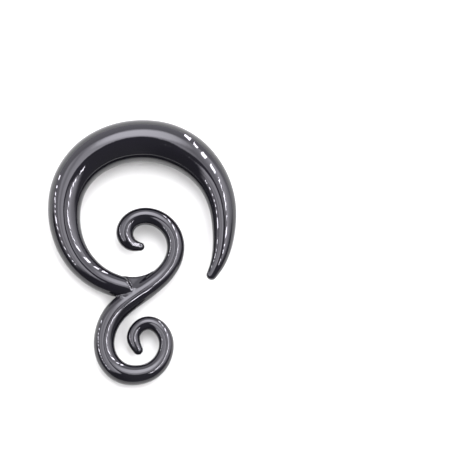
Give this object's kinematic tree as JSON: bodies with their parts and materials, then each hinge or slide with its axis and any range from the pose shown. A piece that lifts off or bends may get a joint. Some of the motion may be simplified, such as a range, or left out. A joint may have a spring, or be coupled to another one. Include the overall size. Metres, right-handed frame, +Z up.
{
  "type": "ear hanger taper",
  "caption": "Crescent ear taper in gloss black glass, thinning from a thick bend to a rounded tip, with an S-shaped double spiral melted onto its end; it lies flat.",
  "frame": {"origin": "bottom centre of the bounding box, on the surface that the piece lies on", "axes": "+Y from the lower coil towards the hook's thick bend, +X towards the hook's tip side, +Z up from the surface"},
  "size_m": [0.0378, 0.0534, 0.0084],
  "materials": {
    "black_glass": "gloss"
  },
  "bodies": {
    "root": {"ear_hanger": "black_glass"}
  },
  "joints": []
}
